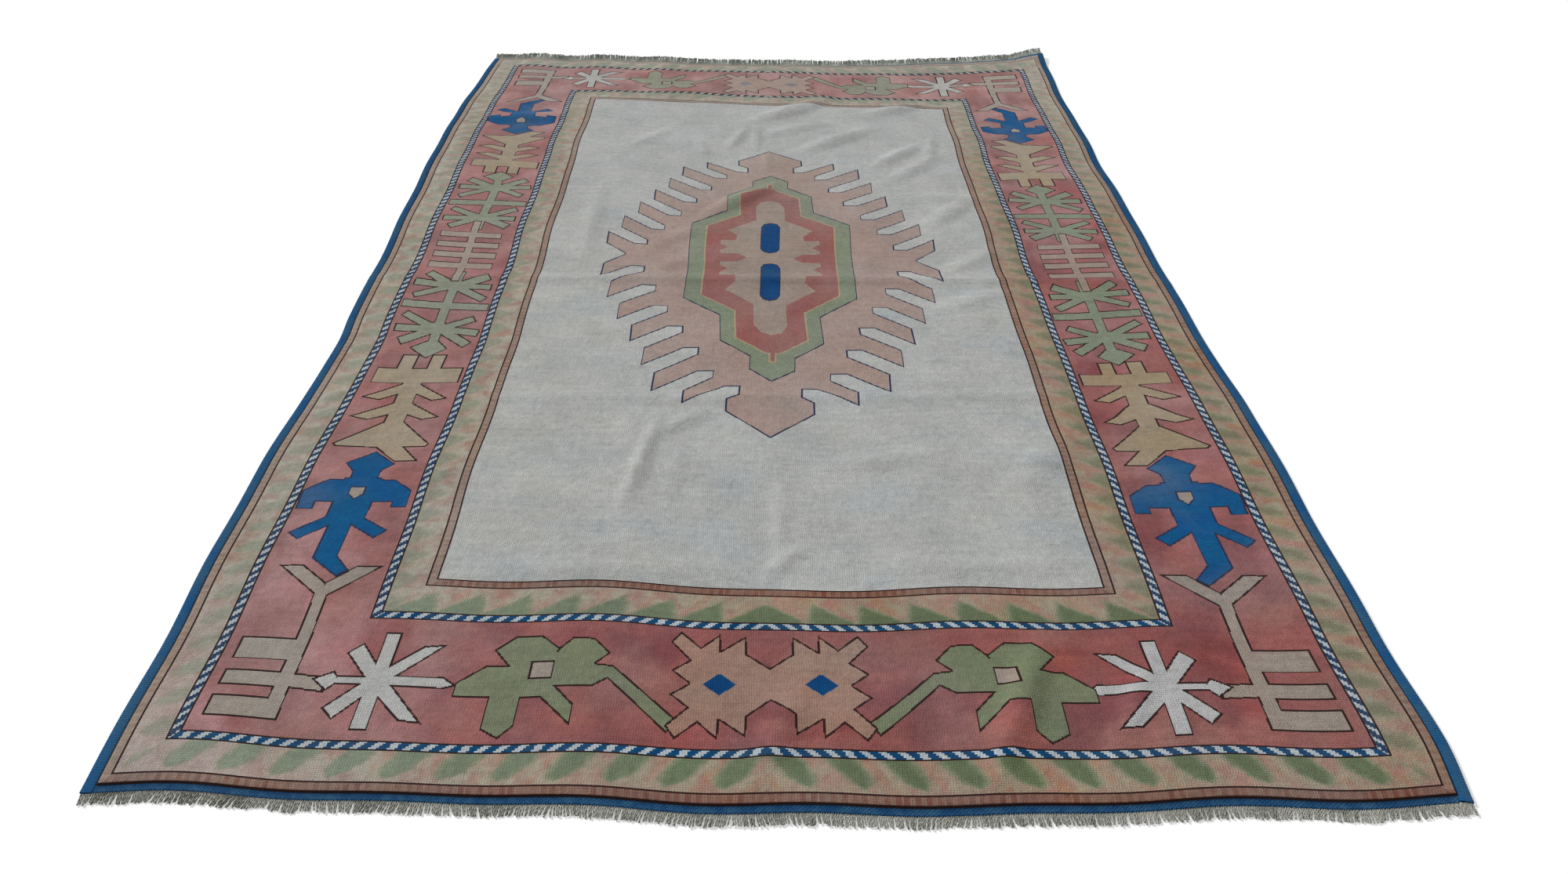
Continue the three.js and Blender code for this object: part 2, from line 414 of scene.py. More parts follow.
class WeaveChart(Workings):
    # a pile material, which says what colour each knot is from its place in the weave
    def __init__(self, name):
        self.material = newMaterial(name)
        super().__init__(self.material.node_tree)
        across, along = self.parts(self.node("ShaderNodeUVMap", uv_map="weave").outputs[0])[:2]
        self.across = across * 1000
        self.along = along * 1000
        wide, tall = rug["knot"]
        self.columns = (self.across - halfWidth) / wide      # knots counted from the middle
        self.rows = (self.along - halfLength) / tall
        self.knotAcross = ((self.columns * 2).floor() + 0.5) * (wide / 2) + halfWidth
        self.knotAlong = ((self.rows * 2).floor() + 0.5) * (tall / 2) + halfLength
        self.fromSide = halfWidth - abs(self.knotAcross - halfWidth)
        self.fromEnd = halfLength - abs(self.knotAlong - halfLength)
        self.soft = self.vector(self.across, self.along)

    def mix(self, first, second, mask):
        made = self.node("ShaderNodeMix", data_type="RGBA")
        self.feed(made.inputs[0], mask)
        self.feed(made.inputs[6], first)
        self.feed(made.inputs[7], second)
        return Value(self, made.outputs[2])

    def paint(self, color, mask):
        self.color = self.mix(self.color, color, mask)

    def standAt(self, x, y):
        # shapes are measured from here on
        self.spot = self.vector(x, y, 1)

    def shape(self, corners):
        # distance outside a convex outline, which is below zero inside it
        turn = sum(x0 * y1 - x1 * y0 for (x0, y0), (x1, y1) in zip(corners, corners[1:] + corners[:1]))
        if turn < 0:
            corners = corners[::-1]
        result = None
        for (x0, y0), (x1, y1) in zip(corners, corners[1:] + corners[:1]):
            length = math.hypot(x1 - x0, y1 - y0)
            normal = ((y1 - y0) / length, (x0 - x1) / length)
            away = self.out("ShaderNodeVectorMath", 1, (
                self.spot, (*normal, -normal[0] * x0 - normal[1] * y0)), operation="DOT_PRODUCT")
            result = away if result is None else highest(result, away)
        return result

    def shapes(self, outlines):
        result = None
        for corners in outlines:
            away = self.shape(corners)
            result = away if result is None else lowest(result, away)
        return result

    def edged(self, away, color, line):
        # fills a shape and draws its outline
        inner, outer = rug["outline"]
        self.paint(wools[line], away < outer)
        self.paint(color, away < inner)

    def motif(self, outlines, color, line="dark"):
        self.edged(self.shapes(outlines), wools[color], line)

    def domes(self):
        # one dome for each knot, on a grid that noise pulls out of line
        noise = self.node("ShaderNodeTexNoise", {"Vector": self.soft, "Scale": 0.1, "Detail": 2.0})
        swayAcross, swayAlong = self.parts(noise.outputs[1])[:2]
        domes = 1
        for count, sway in ((self.columns, swayAcross), (self.rows, swayAlong)):
            part = (count + sway * pile["loose"]) % 1 - 0.5
            domes = (1 - part * part * 4) * domes
        return domes

    def sheenAndWear(self):
        # how far the wool pales toward a dusty colour, as painted sheen and fading: on the left and toward
        # the far end, and least in the reds, the blues and the dark lines
        shares = self.node("ShaderNodeSeparateColor", {"Color": self.color})
        red, green, blue = (Value(self, share) for share in shares.outputs[:3])
        left = self.ramp(self.across, 900, 0) * self.ramp(self.along, 3200, 1800)
        far = self.ramp(self.along, 1300, 3000)
        sheenAndWear = (highest(left * pile["leftSheenAndWear"], far * pile["farSheenAndWear"])
                * self.ramp(blue / (red + blue), 0.75, 0.6) * self.ramp(green, 0.02, 0.07)
                * self.ramp(red / (red + green), 0.74, 0.58, 0.35, 1.0))
        return highest(sheenAndWear, self.ramp(self.along, *pile["edgeWearFrom"]) * pile["edgeWear"])

    def finish(self):
        # shade each knot a little differently, pale the pile in places with painted sheen and fading, and
        # raise it from its base
        knotSpot = self.vector(self.columns.floor(), self.rows.floor())
        marks = {
            "chance": self.out("ShaderNodeTexWhiteNoise", 0, {"Vector": knotSpot}, noise_dimensions="2D"),
            "domes": self.domes(),
            "rows": self.noise(self.vector(self.across * 0.05, self.along), 0.11, 2),
        }
        for name, (scale, detail, rough) in pile["noises"].items():
            marks[name] = self.noise(self.soft, scale, detail, rough)
        bright = pile["dullest"]
        for name, share in pile["shades"].items():
            bright = bright + marks[name] * share
        height = marks["domes"] * (0.25 + marks["chance"] * 0.6)
        for name, share in pile["relief"].items():
            height = height + marks[name] * share
        strong = 0.56 + self.noise(self.soft, 0.006, 3) * 0.88
        hue = 0.484 + self.noise(self.vector(self.across * 0.6, self.along, 5), 0.013, 3) * 0.032
        tinted = self.out("ShaderNodeHueSaturation", 0, {
            "Hue": hue, "Saturation": strong, "Value": bright,
            "Color": self.mix(self.color, wools["dustAndSheen"], self.sheenAndWear())})
        bump = self.node("ShaderNodeBump", {"Strength": 0.7, "Distance": 0.0014, "Height": height})
        shader = self.node("ShaderNodeBsdfPrincipled", {
            "Base Color": tinted, "Roughness": 0.95, "Specular IOR Level": 0.1,
            "Sheen Weight": 0.03, "Sheen Roughness": 0.5, "Normal": bump.outputs[0]})
        self.node("ShaderNodeOutputMaterial", {"Surface": shader.outputs[0]})
        return self.material


# Where each stripe begins, in from the edge: at the sides and at the ends
stripes = {
    "blueLine": (20, 11), "guard": (23, 13.5), "guardLine": (36.1, 25.5), "border": (39.3, 28.3),
    "borderLine": (92.6, 80.1), "pole": (95.7, 82.7), "poleLine": (108.7, 94.4), "main": (112, 97),
    "mainLine": (332, 325), "innerPole": (335, 327.7), "innerPoleLine": (347.9, 339.4),
    "innerBorder": (351, 342.1), "innerBorderLine": (407.9, 399.8), "innerGuard": (411.1, 402.6),
    "innerGuardLine": (423.9, 414.8), "field": (427, 417.5),
}
repeats = {"pole": (20.5, 27), "leaf": (55, 82), "dash": (13, 15)}    # along the sides and the ends
leaf = {
    "height": 48,                # above the barber pole
    "lean": (0.3, 0.8),          # at the sides, at the ends
    "ragged": 18,                # how far its edges wander
    "strokePlace": 0.4,          # of the pink stroke, as a share of the leaf's period
    "strokeWidth": (15, 3),
    "sideStrength": 0.64,        # how clearly the leaves show at the sides
}
whitePart = 0.45                 # of each turn of the barber poles


class StripeChart(WeaveChart):
    # stripes that turn square corners, nested one inside the other
    def __init__(self, name):
        super().__init__(name)
        self.sideDistance = halfWidth - abs(self.across - halfWidth)
        self.endDistance = halfLength - abs(self.along - halfLength)
        side, end = stripes["main"]
        self.atEnd = (self.fromEnd + (side - end)) < self.fromSide
        acrossKnots = halfWidth - abs((self.columns.floor() + 0.5) * rug["knot"][0])
        alongKnots = (self.rows.floor() + 0.5) * rug["knot"][1] + halfLength
        self.run = alongKnots + self.atEnd * (acrossKnots - alongKnots)
        self.lean = acrossKnots + self.atEnd * (alongKnots - acrossKnots)

    def inside(self, stripe):
        side, end = stripes[stripe]
        return lowest(self.sideDistance - side, self.endDistance - end)

    def period(self, what):
        side, end = repeats[what]
        return side + self.atEnd * (end - side)

    def line(self, stripe):
        self.paint(wools["dark"], self.inside(stripe) > 0)

    def poles(self, stripe):
        phase = (self.run - self.lean) / self.period("pole") % 1
        blue = self.mix(wools["poleNavy"], wools["poleBlue"], self.atEnd)
        blue = self.mix(blue, wools["poleFar"], self.atEnd * (self.along > halfLength))
        self.paint(self.mix(blue, wools["pale"], phase < whitePart), self.inside(stripe) > 0)

    def leaves(self, stripe, fromPole, start, wide, blunt):
        # green leaves that stand on the barber pole and lean away from the corner
        period = self.period("leaf")
        blur = self.noise(self.soft, 0.045, 2)
        sideLean, endLean = leaf["lean"]
        lean = self.lean * (sideLean + self.atEnd * (endLean - sideLean))
        phase = (self.run - lean + (blur - 0.5) * leaf["ragged"] - start * self.atEnd) / period
        middle = abs(phase % 1 - 0.5) * period
        share = self.math("POWER", lowest(highest(fromPole, 0) / leaf["height"], 1), blunt)
        reach = middle - period * wide * (1 - share) + 3
        cream = self.ramp(self.noise(self.soft, 0.03, 2), 0.3, 0.6)
        fromStroke = abs((phase + leaf["strokePlace"]) % 1 - 0.5) * period
        stroke = self.ramp(fromStroke, *leaf["strokeWidth"]) * self.ramp(blur, 0.3, 0.6)
        warm = self.ramp(self.noise(self.soft, 0.011, 3), 0.5, 0.7) * self.atEnd
        # painted sheen: the ground and the leaves turn paler and cooler toward the left and the far end, and
        # mauve at the near-left corner
        cool = highest(self.ramp(self.across, 1300, 0), self.ramp(self.along, 1700, 2900))
        corner = self.ramp(self.across + self.along, 560, 140)
        ground = self.mix(wools["pink"], self.mix(wools["cream"], wools["creamCool"], cool), cream)
        ground = self.mix(ground, wools["peachWarm"], highest(warm * 0.5, stroke * (0.6 - cool * 0.25)))
        ground = self.mix(ground, wools["mauve"], corner * 0.7)
        deep = self.mix(wools["leaf"], wools["leafCool"], cool)
        green = self.mix(wools["leafPale"], deep, self.ramp(reach, 0, -14))
        strength = leaf["sideStrength"] + self.atEnd * (1 - leaf["sideStrength"])
        self.paint(self.mix(ground, green, self.ramp(reach, 6, -6) * strength), self.inside(stripe) > 0)

    def dashes(self, stripe):
        phase = self.run / self.period("dash") % 1
        patchy = self.ramp(self.noise(self.soft, 0.03, 2), 0.25, 0.7)
        dark = (phase < 0.5) * patchy * 0.5 + self.atEnd * (self.along < halfLength) * 0.5
        self.paint(self.mix(wools["guard"], wools["guardRose"], dark), self.inside(stripe) > 0)


def outerStripes():
    chart = StripeChart("outer-stripe-pile")
    chart.color = wools["blue"]
    chart.line("blueLine")
    chart.dashes("guard")
    chart.line("guardLine")
    chart.leaves("border", 0 - chart.inside("borderLine"), start=48, wide=0.34, blunt=5)
    chart.line("borderLine")
    chart.poles("pole")
    chart.line("poleLine")
    return chart.finish()


def innerStripes():
    chart = StripeChart("inner-stripe-pile")
    chart.color = wools["dark"]
    chart.poles("innerPole")
    chart.line("innerPoleLine")
    chart.leaves("innerBorder", chart.inside("innerBorder"), start=0, wide=0.54, blunt=1.1)
    chart.line("innerBorderLine")
    chart.dashes("innerGuard")
    chart.line("innerGuardLine")
    return chart.finish()


# Motifs of the main border are charted in one quarter: x from the side edge, y from the end

def bar(start, end, width, endWidth=None):
    # a straight bar between two points
    (x0, y0), (x1, y1) = start, end
    length = math.hypot(x1 - x0, y1 - y0)
    nx, ny = (y0 - y1) / length / 2, (x1 - x0) / length / 2
    endWidth = endWidth or width
    return [(x0 + nx * width, y0 + ny * width), (x1 + nx * endWidth, y1 + ny * endWidth),
            (x1 - nx * endWidth, y1 - ny * endWidth), (x0 - nx * width, y0 - ny * width)]


def block(left, right, low, high):
    return [(left, low), (right, low), (right, high), (left, high)]


cornerComb = [
    block(132, 236, 125, 163), block(132, 236, 183, 211), block(132, 236, 235, 278),
    [(221, 383), (243, 383), (250, 125), (223, 125)],
    [(142, 441), (181, 443), (233, 402), (243, 377), (221, 377)],
    [(277, 443), (321, 443), (243, 373), (221, 373), (233, 402)],
    [(230, 212), (292, 207), (304, 180), (230, 186)],
]
starRays = [
    block(368, 402, 186, 226),
    block(371, 396, 205, 296), block(369, 395, 115, 205),
    bar((382, 204), (329, 264), 24, 28), bar((382, 204), (325, 142), 24, 28),
    [(374, 212), (442, 271), (475, 275), (446, 246), (392, 194)],
    [(372, 194), (439, 133), (474, 130), (392, 212)],
    bar((382, 203), (486, 203), 19), [(480, 193), (480, 213), (487, 214), (510, 200), (490, 193)],
    bar((382, 203), (316, 202), 14), [(309, 218), (280, 203), (307, 183), (324, 202)],
]
flower = [
    [(623, 226), (684, 226), (668, 264), (640, 264)],
    [(502, 180), (502, 205), (543, 238), (610, 238), (610, 180)],
    [(551, 269), (582, 296), (623, 296), (655, 269), (640, 225), (590, 225)],
    [(655, 269), (676, 291), (710, 289), (738, 261), (712, 236), (645, 225)],
    block(590, 656, 178, 246), block(640, 716, 197, 246),
    [(706, 197), (716, 197), (740, 213), (746, 236), (706, 240)],
    [(728, 236), (746, 236), (854, 145), (840, 123), (730, 222)],
    [(560, 190), (608, 190), (608, 128), (588, 107), (560, 123)],
    [(640, 205), (656, 200), (692, 163), (692, 128), (640, 178)],
]
flowerWindow = [block(615, 650, 213, 245)]
# The double star is mirrored about its own middle too, so y here is the distance from that
starBody = [
    [(873, -9), (873, 0), (874, 47), (888, 69), (961, 61), (1008, 24), (1008, -9)],
    [(841, 80), (856, 101), (898, 62), (878, 40)], [(880, 62), (919, 99), (921, 52)],
    [(912, 58), (961, 95), (963, 50)], [(882, 52), (845, 23), (882, -6)],
]
starEye = [[(895, 0), (920, 20), (945, 0), (920, -20)]]

bird = [
    [(221, 764), (173, 730), (192, 706), (246, 706), (268, 726)],
    [(192, 714), (248, 714), (246, 670), (195, 670)],
    [(154, 678), (114, 645), (114, 614), (190, 614), (200, 680)],
    block(116, 146, 592, 626),
    [(284, 676), (321, 645), (321, 614), (248, 614), (240, 680)],
    block(293, 321, 598, 626),
    [(183, 684), (255, 684), (253, 566), (179, 566)],
    [(178, 569), (126, 526), (147, 509), (202, 556), (202, 585)],
    [(250, 569), (302, 534), (283, 515), (225, 556), (225, 585)],
    [(192, 585), (233, 585), (233, 462), (192, 462)],
    [(192, 461), (199, 474), (232, 468), (262, 434), (246, 419)],
]
birdTail = bird[-2:]             # reaches into the end border's chart
birdEye = [[(203, 637), (217, 622), (232, 637), (232, 658), (203, 658)]]
pine = [
    block(174, 210, 1010, 1082), block(242, 274, 1010, 1082), block(131, 324, 984, 1034),
    [(130, 935), (170, 928), (222, 956), (222, 992)], [(313, 930), (283, 924), (228, 956), (228, 992)],
    [(127, 873), (166, 864), (222, 888), (222, 928)], [(311, 871), (279, 864), (228, 888), (228, 928)],
    block(204, 245, 845, 990),
    [(124, 787), (132, 780), (312, 778), (318, 786), (245, 858), (203, 856)],
    [(200, 792), (258, 792), (309, 735), (266, 734)],
]
tree = [
    [(227, 1071), (266, 1105), (240, 1132), (212, 1132), (180, 1108)],
    block(215, 239, 1112, 1410),
    bar((227, 1182), (146, 1130), 26, 29), bar((227, 1180), (124, 1178), 24, 26),
    bar((227, 1176), (134, 1234), 24, 22), bar((227, 1182), (308, 1118), 24, 25),
    bar((227, 1180), (325, 1162), 24, 26), bar((227, 1176), (306, 1218), 24, 22),
    [(117, 1286), (329, 1277), (329, 1250), (117, 1258)],
    bar((225, 1350), (135, 1305), 24, 21), bar((225, 1350), (122, 1359), 24, 25),
    bar((225, 1346), (147, 1400), 26, 24), bar((225, 1346), (304, 1389), 26, 29),
    bar((225, 1350), (318, 1347), 24, 23), bar((225, 1350), (312, 1295), 24, 23),
]
treeBody = [
    [(192, 1182), (227, 1160), (262, 1176), (262, 1190), (227, 1206), (192, 1198)],
    [(192, 1348), (227, 1330), (262, 1340), (262, 1358), (227, 1372), (192, 1364)],
]
sideComb = [block(211, 231, 1368, 1520), block(133, 297, 1425, 1451), block(133, 297, 1473, 1499)]

mirror = {
    "flower": 1009,              # the lines, a little right of the middle, that the halves meet at
    "star": 1006,
    "starMiddle": 214.5,
}
farPull = {
    "by": (12, 24),              # how far the far motifs are drawn in, at the left and the right
    "from": (60, 380),           # distances from the mirror line where it starts and is whole
    "to": (450, 900),            # where it starts to fade, and where it ends
}
raisedPine = {"by": 14, "from": (880, 935), "to": (1010, 1055)}    # on the right of the near half


def roseGround(chart):
    warm = chart.ramp(chart.noise(chart.vector(chart.across * 0.5, chart.along), 0.012, 3), 0.44, 0.64)
    deep = chart.ramp(chart.noise(chart.soft, 0.0085, 3), 0.45, 0.66)
    chart.color = chart.mix(chart.mix(wools["rose"], wools["roseWarm"], warm), wools["roseDeep"], deep)
    # painted sheen and fading: the rose pales in patches toward the near left, the right and the far end
    left = chart.ramp(chart.across, 800, 150) * chart.ramp(chart.along, 1000, 300, 0.6, 1.0)
    right = chart.ramp(chart.across, 1550, 1800) * chart.ramp(chart.along, 300, 600)
    far = chart.ramp(chart.along, 400, 2200)
    sheenAndFade = highest(highest(left * 0.68, far * 0.64), right * 0.4)
    sheenAndFadePatches = chart.ramp(chart.noise(chart.vector(chart.across, chart.along * 0.8, 3), 0.0075, 3), 0.4, 0.64)
    chart.paint(wools["roseFadeAndSheen"], sheenAndFade * (0.2 + sheenAndFadePatches * 0.8))


def endBorder():
    chart = WeaveChart("end-border-pile")
    roseGround(chart)
    chart.standAt(chart.fromSide, chart.fromEnd)
    chart.motif(birdTail, "blueBright", "navy")
    chart.motif(cornerComb, "beige")
    fromMirror = abs(chart.across - mirror["flower"])
    farHalf = chart.along > halfLength
    pull = chart.ramp(fromMirror, *farPull["from"]) * chart.ramp(fromMirror, *farPull["to"][::-1]) * farHalf
    byLeft, byRight = farPull["by"]
    pull = pull * (byLeft + (chart.across > halfWidth) * (byRight - byLeft))
    chart.standAt(chart.fromSide - pull, chart.fromEnd)
    chart.motif(starRays, "ivory")
    chart.standAt(halfWidth - abs(chart.knotAcross - mirror["flower"]) - pull, chart.fromEnd)
    chart.motif(flower, "greenDeep")
    chart.motif(flowerWindow, "beige")
    fromStar = abs(chart.fromEnd - mirror["starMiddle"])
    chart.standAt(halfWidth - abs(chart.knotAcross - mirror["star"]), fromStar)
    chart.motif(starBody, "peach")
    eye = chart.mix(wools["blueDeep"], wools["eyeFar"], farHalf)
    chart.paint(eye, chart.shapes(starEye) < 1)
    return chart.finish()


def sideBorder():
    chart = WeaveChart("side-border-pile")
    roseGround(chart)
    chart.standAt(chart.fromSide, chart.fromEnd)
    chart.motif(bird, "blueBright", "navy")
    chart.motif(birdEye, "beige", "navy")
    right = (chart.across > halfWidth) * (chart.along < halfLength)
    start, end = raisedPine["from"], raisedPine["to"][::-1]
    raised = right * chart.ramp(chart.along, *start) * chart.ramp(chart.along, *end) * raisedPine["by"]
    chart.standAt(chart.fromSide, chart.fromEnd - raised)
    chart.motif(pine, "ochre")
    chart.standAt(chart.fromSide, chart.fromEnd)
    chart.motif(tree + treeBody, "green")
    chart.motif(sideComb, "tan")
    return chart.finish()


# The medallion is charted in one quarter: x and y from its middle
medallion = {
    "middle": (1007, 1514),
    "slant": 0.75,               # how fast a finger drifts along the rug as it reaches out
    "slots": 6,                  # gaps between the fingers
    "slot": (321, 55),           # inner corner of the first gap
    "step": (-38.6, 83.5),       # from one gap to the next
    "slotEnd": (35, 24),         # the gap's flat inner end
    "slotLength": 160,
    "fingerLength": 130,
    "reach": (427, 396, 362, 325, 290, 257),    # of each finger, from the middle one on
    "strawLine": (5, 1),         # from the red ring's edge, where its straw line starts and ends
}


def slotCorner(i):
    (x, y), (stepX, stepY) = medallion["slot"], medallion["step"]
    return x + stepX * i, y + stepY * i


def slotShape(i):
    x, y = slotCorner(i)
    wide, tall = medallion["slotEnd"]
    run = medallion["slotLength"]
    drift = run * medallion["slant"]
    return [(x, y), (x + wide, y), (x + wide + run, y + drift), (x + run, y + tall + drift), (x, y + tall)]


def fingerShape(i):
    # the finger between gap i - 1 and gap i
    reach, slant, (wide, tall) = medallion["reach"][i], medallion["slant"], medallion["slotEnd"]
    before, after = slotCorner(i - 1), slotCorner(i)
    low = before[1] + tall + (reach - before[0]) * slant
    high = after[1] + (reach - after[0] - wide) * slant
    root, drift = reach - medallion["fingerLength"], medallion["fingerLength"] * slant
    return [(reach, low), (reach, high), (root, high - drift), (root, low - drift)]


medallionBody = [(-9, -9), (376, -9), (376, 10), (378, 95), (188, 512), (99, 525), (-9, 525)]
medallionFingers = [
    [(427, 50), (427, 108), (330, 36), (330, 0), (372, 0)],
    *[fingerShape(i) for i in range(1, medallion["slots"])],
    [(187, 540), (187, 600), (99, 525), (60, 500), (100, 475)],
    [(-9, 687), (0, 687), (93, 608), (93, 572), (67, 558), (-9, 558)],
    block(-9, 67, 500, 570),
]
greenRing = [
    [(-9, -9), (210, -9), (210, 185), (118, 260), (-9, 260)], block(-9, 118, 240, 362),
    [(-9, 350), (118, 350), (118, 362), (50, 420), (-9, 420)], [(-9, 405), (50, 405), (50, 465), (-9, 512)],
]
redRing = [
    [(-9, -9), (167, -9), (167, 170), (84, 238), (-9, 238)], block(-9, 80, 225, 350),
    [(-9, 340), (80, 340), (80, 350), (14, 404), (-9, 404)], block(-9, 5, 390, 434),
]
tanMiddle = [
    [(-9, -9), (129, -9), (129, 125), (110, 152), (40, 212), (-9, 212)],
    [(-9, 200), (40, 200), (40, 295), (24, 328), (-9, 340)],
]
redTeeth = [
    [(140, -9), (140, 22), (84, 20), (62, 3), (62, -9)], [(140, 30), (108, 54), (140, 80)],
    [(140, 92), (90, 92), (86, 118), (112, 150), (140, 152)],
]
blueHexagon = [[(0, 27), (16, 32), (24, 48), (24, 172), (16, 190), (0, 196), (-9, 196), (-9, 27)]]


def fieldPile():
    chart = WeaveChart("field-pile")
    cool = chart.ramp(chart.noise(chart.vector(chart.across * 0.6, chart.along), 0.01, 3), 0.4, 0.85)
    chart.color = chart.mix(wools["field"], wools["fieldCool"], cool)
    # painted light: the field turns paler and cooler toward the far end
    chart.paint(wools["fieldFarLight"], chart.ramp(chart.along, 1500, 3000) * 0.6)
    middleX, middleY = medallion["middle"]
    chart.standAt(abs(chart.knotAcross - middleX), abs(chart.knotAlong - middleY))
    body = chart.shape(medallionBody)
    for i in range(medallion["slots"]):
        body = highest(body, 0 - chart.shape(slotShape(i)))
    body = lowest(body, chart.shapes(medallionFingers))
    chart.edged(body, wools["medallion"], "navy")
    chart.motif(greenRing, "green", "navy")
    red = chart.shapes(redRing)
    start, end = medallion["strawLine"]
    chart.paint(wools["straw"], red < start)
    chart.paint(wools["red"], red < end)
    chart.paint(wools["tan"], chart.shapes(tanMiddle) < 0)
    chart.paint(wools["red"], chart.shapes(redTeeth) < 0)
    chart.motif(blueHexagon, "blueDeep", "navy")
    return chart.finish()


def flatWeave(name, color, pitch):
    # weft-faced cloth, its fine ribs running across
    chart = WeaveChart(name)
    # painted sheen: the blue pales in random patches
    patchy = chart.ramp(chart.noise(chart.soft, 0.05, 4, 0.7), 0.35, 0.7)
    perMillimetre = math.tau / pitch
    ribs = (chart.along * perMillimetre).sine() * (chart.across * (perMillimetre / 1.4)).sine()
    grain = chart.noise(chart.soft, 0.35, 3, 0.7)
    # painted shade: the ribs darken the cloth in the grooves between them
    tinted = chart.out("ShaderNodeHueSaturation", 0, {
        "Value": 0.6 + ribs * 0.1 + grain * 0.7, "Color": chart.mix(wools[color], wools["blueSheen"], patchy)})
    bump = chart.node("ShaderNodeBump", {"Strength": 0.5, "Distance": 0.0006, "Height": ribs + grain})
    shader = chart.node("ShaderNodeBsdfPrincipled", {
        "Base Color": tinted, "Roughness": 0.9, "Specular IOR Level": 0.2, "Sheen Weight": 0.08,
        "Normal": bump.outputs[0]})
    chart.node("ShaderNodeOutputMaterial", {"Surface": shader.outputs[0]})
    return chart.material


print("wools dyed")


def stations(stops, pitch):
    # places from the first stop to the last, even between stops and no further apart than pitch
    places = []
    for start, end in zip(stops, stops[1:]):
        count = max(1, math.ceil((end - start) / pitch))
        places += [start + (end - start) * i / count for i in range(count)]
    return places + [stops[-1]]


def rounded(distance, reach):
    # a quarter-round rise from 0 at the edge to 1 at reach
    share = min(max(distance / reach, 0), 1)
    return math.sqrt(1 - (1 - share) ** 2)


def pileHeight(across, along):
    fromSide = min(across, rug["width"] - across) - rug["selvedgeWidth"] - rug["selvedgeGap"]
    fromEnd = min(along, rug["length"] - along)
    thick, full, low = rug["endBandThickness"], rug["pileThickness"], rug["selvedgeThickness"]
    height = low + (full - low) * rounded(fromSide, rug["sideShoulder"])
    bandHeight = 1 + (thick - 1) * rounded(fromEnd, rug["endBandShoulder"])
    share = rounded(fromEnd - rug["endBandWidth"], rug["pileShoulder"])
    return bandHeight + (height - bandHeight) * share


# Lines that the mesh keeps to, in from each edge: its shoulders, and where one chart meets the next
edge, band = rug["selvedgeWidth"] + rug["selvedgeGap"], rug["endBandWidth"]
mainSide, mainEnd = stripes["main"]
innerSide, innerEnd = stripes["mainLine"]
fieldSide, fieldEnd = stripes["field"]
birdFoot = 484.5                 # where the end border's chart gives way to the side border's
sideStops = [edge, edge + 0.8, edge + 2.6, edge + 6, mainSide, innerSide, fieldSide]
endStops = [0, 0.8, 2.6, band, band + 1, band + 3, band + 6, mainEnd, innerEnd, fieldEnd, birdFoot]
acrossPlaces = stations(sideStops + [rug["width"] - stop for stop in sideStops[::-1]], rug["meshPitch"])
alongPlaces = stations(endStops + [rug["length"] - stop for stop in endStops[::-1]], rug["meshPitch"])


def zone(across, along):
    # which of the charts, in the order that makeBody lists them, a place belongs to
    fromSide, fromEnd = min(across, rug["width"] - across), min(along, rug["length"] - along)
    if fromEnd < band:
        return 0
    if fromSide < mainSide or fromEnd < mainEnd:
        return 1
    if fromSide < innerSide or fromEnd < innerEnd:
        return 2 if fromEnd < birdFoot else 3
    return 4 if fromSide < fieldSide or fromEnd < fieldEnd else 5


def makeBody():
    columns, rows = len(acrossPlaces), len(alongPlaces)
    verts = []
    for along in alongPlaces:
        row = weftRow(along)
        for across in acrossPlaces:
            spot = place(row, across)
            verts.append(spot)
            verts.append(spot + Vector((0, 0, pileHeight(across, along) / 1000)))
    faces, zones, weave = [], [], []

    def add(corners, zoneIndex):
        faces.append([(j * columns + i) * 2 + top for i, j, top in corners])
        weave.extend((acrossPlaces[i] / 1000, alongPlaces[j] / 1000) for i, j, top in corners)
        zones.append(zoneIndex)

    for j in range(rows - 1):
        for i in range(columns - 1):
            middle = zone(sum(acrossPlaces[i:i + 2]) / 2, sum(alongPlaces[j:j + 2]) / 2)
            add([(i, j, 1), (i + 1, j, 1), (i + 1, j + 1, 1), (i, j + 1, 1)], middle)
            add([(i, j, 0), (i, j + 1, 0), (i + 1, j + 1, 0), (i + 1, j, 0)], middle)
    for i in range(columns - 1):
        for j, (a, b) in ((0, (i, i + 1)), (rows - 1, (i + 1, i))):
            add([(a, j, 0), (b, j, 0), (b, j, 1), (a, j, 1)], 0)
    for j in range(rows - 1):
        for i, (a, b) in ((0, (j + 1, j)), (columns - 1, (j, j + 1))):
            add([(i, a, 0), (i, b, 0), (i, b, 1), (i, a, 1)], 1)
    mesh = bpy.data.meshes.new("rug-body")
    mesh.from_pydata(verts, [], faces)
    layer = mesh.uv_layers.new(name="weave")
    for loop, spot in zip(layer.data, weave):
        loop.uv = spot
    for material in (flatWeave("end-band-wool", "blue", pitch=5), outerStripes(), endBorder(), sideBorder(),
                     innerStripes(), fieldPile()):
        mesh.materials.append(material)
    mesh.polygons.foreach_set("material_index", zones)
    mesh.polygons.foreach_set("use_smooth", [True] * len(zones))
    return addObject("rug-body", mesh)


body = makeBody()
print("body laid,", len(body.data.polygons) * 2, "triangles")


